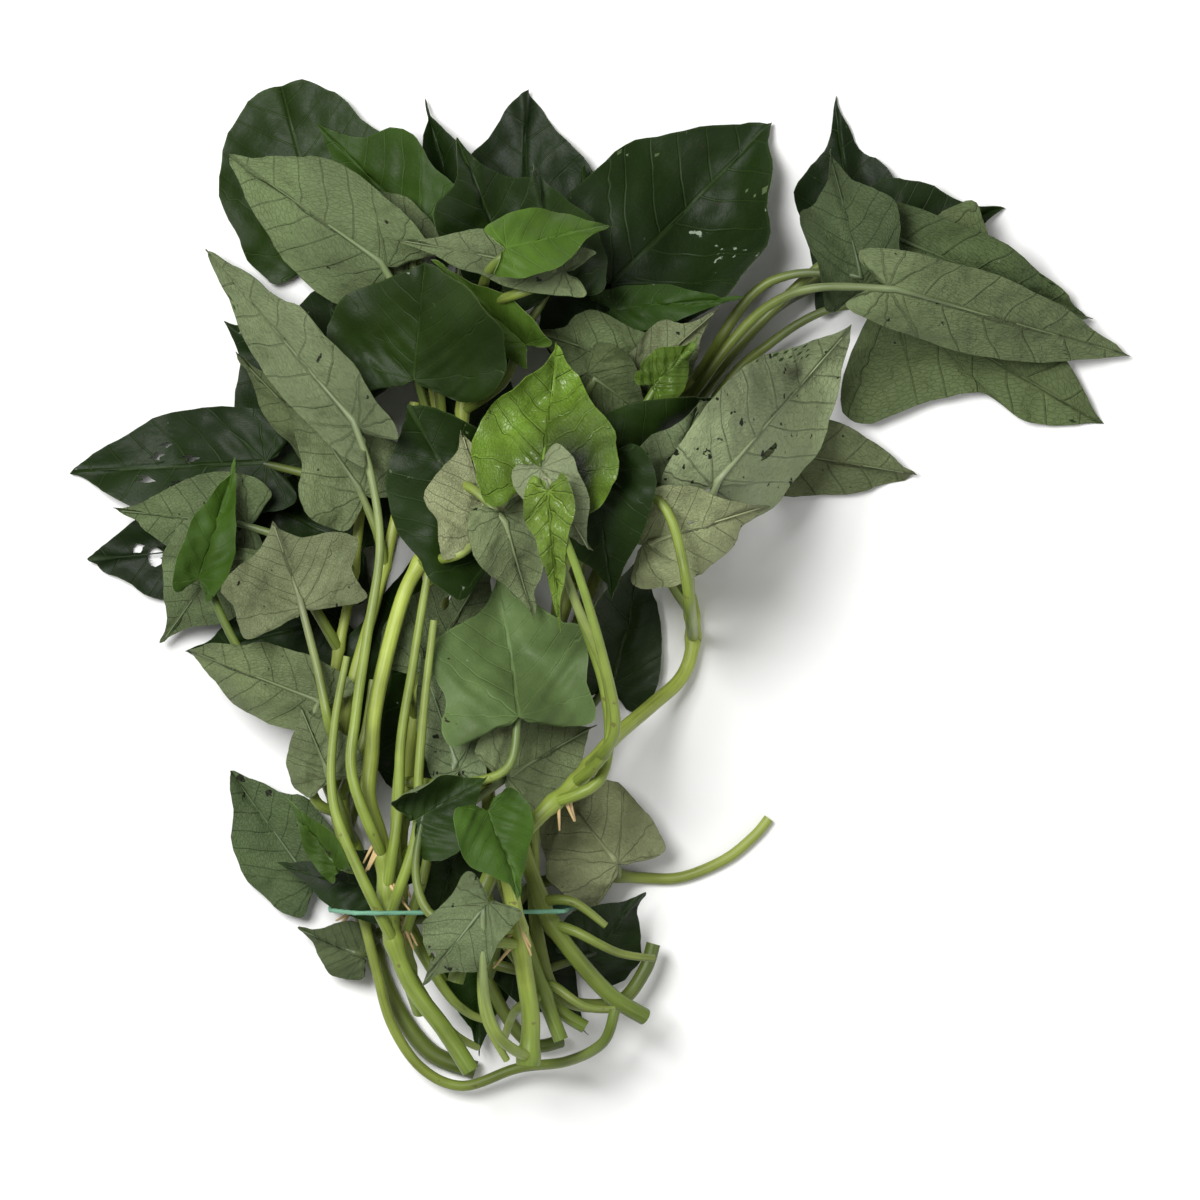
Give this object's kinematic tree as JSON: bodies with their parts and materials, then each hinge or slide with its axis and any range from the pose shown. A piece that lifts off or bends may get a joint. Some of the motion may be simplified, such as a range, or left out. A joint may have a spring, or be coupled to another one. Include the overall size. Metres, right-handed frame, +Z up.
{
  "type": "sweet potato leaf bunch",
  "caption": "Loose market bunch of sweet potato tops lying flat: leafy shoots with heart and spear shaped blades on long stalks, stems gathered at one end by a thin string.",
  "frame": {"origin": "centre of the bounding box at the surface the bunch lies on", "axes": "+Z up from the surface, +Y from the cut stem ends towards the leaf crown, +X to the right seen from above"},
  "size_m": [0.3583, 0.3403, 0.1122],
  "materials": {
    "shoot": "matt green leaf and stem",
    "string": "thin teal twine"
  },
  "bodies": {
    "root": {"left_low_shoot": "shoot", "crown_back_shoot": "shoot", "side_vine": "shoot", "right_shoot": "shoot", "crown_right_shoot": "shoot", "crown_left_shoot": "shoot", "left_shoot": "shoot", "left_mid_shoot": "shoot", "crown_front_shoot": "shoot", "centre_low_shoot": "shoot", "front_left_shoot": "shoot", "centre_right_shoot": "shoot", "front_low_shoot": "shoot", "tie": "string"}
  },
  "joints": []
}
